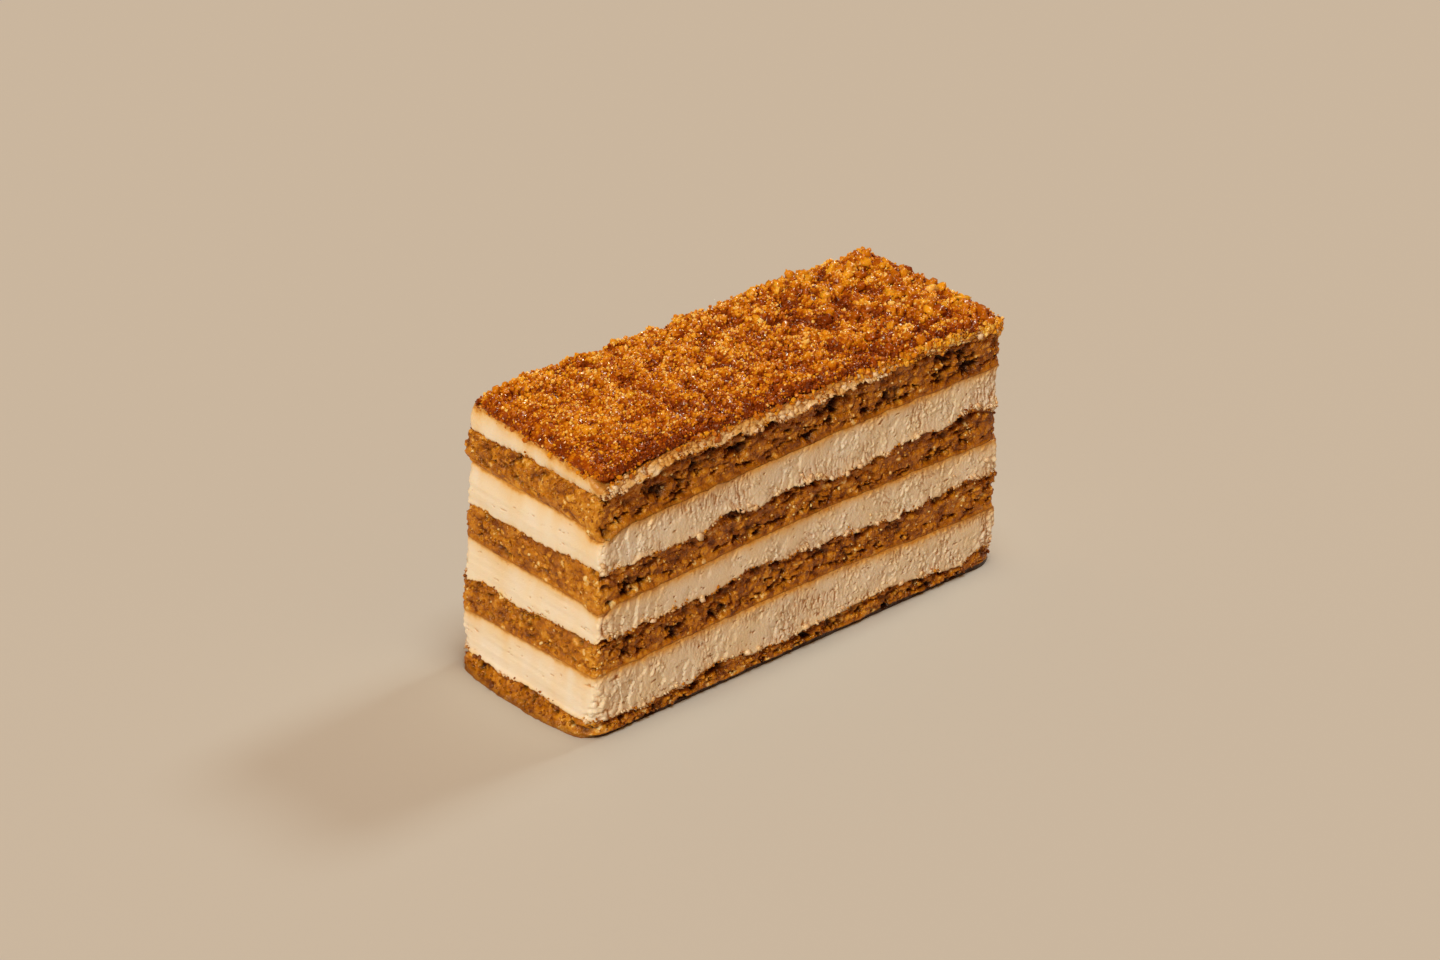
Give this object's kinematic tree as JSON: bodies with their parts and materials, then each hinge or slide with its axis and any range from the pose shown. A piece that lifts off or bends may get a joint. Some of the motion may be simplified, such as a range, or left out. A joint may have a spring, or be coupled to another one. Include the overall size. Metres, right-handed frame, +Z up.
{
  "type": "slice of honey cake",
  "caption": "Rectangular slice of layered honey cake: thin brown sponge sheets with pale cream between them, a cream coat and a golden crumb topping.",
  "frame": {"origin": "middle of the base of the slice, on the surface it stands on", "axes": "+X along the slice, +Y across it away from the near long side, +Z up"},
  "size_m": [0.1171, 0.0421, 0.0626],
  "materials": {
    "sponge": "open brown honey sponge, matt with moist pits",
    "cream": "soft pale cream, satin, torn by the knife on the long sides",
    "crumb": "glossy golden-brown baked crumbs"
  },
  "bodies": {
    "root": {"sponge_1": "sponge", "cream_1": "cream", "sponge_2": "sponge", "cream_2": "cream", "sponge_3": "sponge", "cream_3": "cream", "sponge_4": "sponge", "cream_coat": "cream", "crumb_topping": "crumb"}
  },
  "joints": []
}
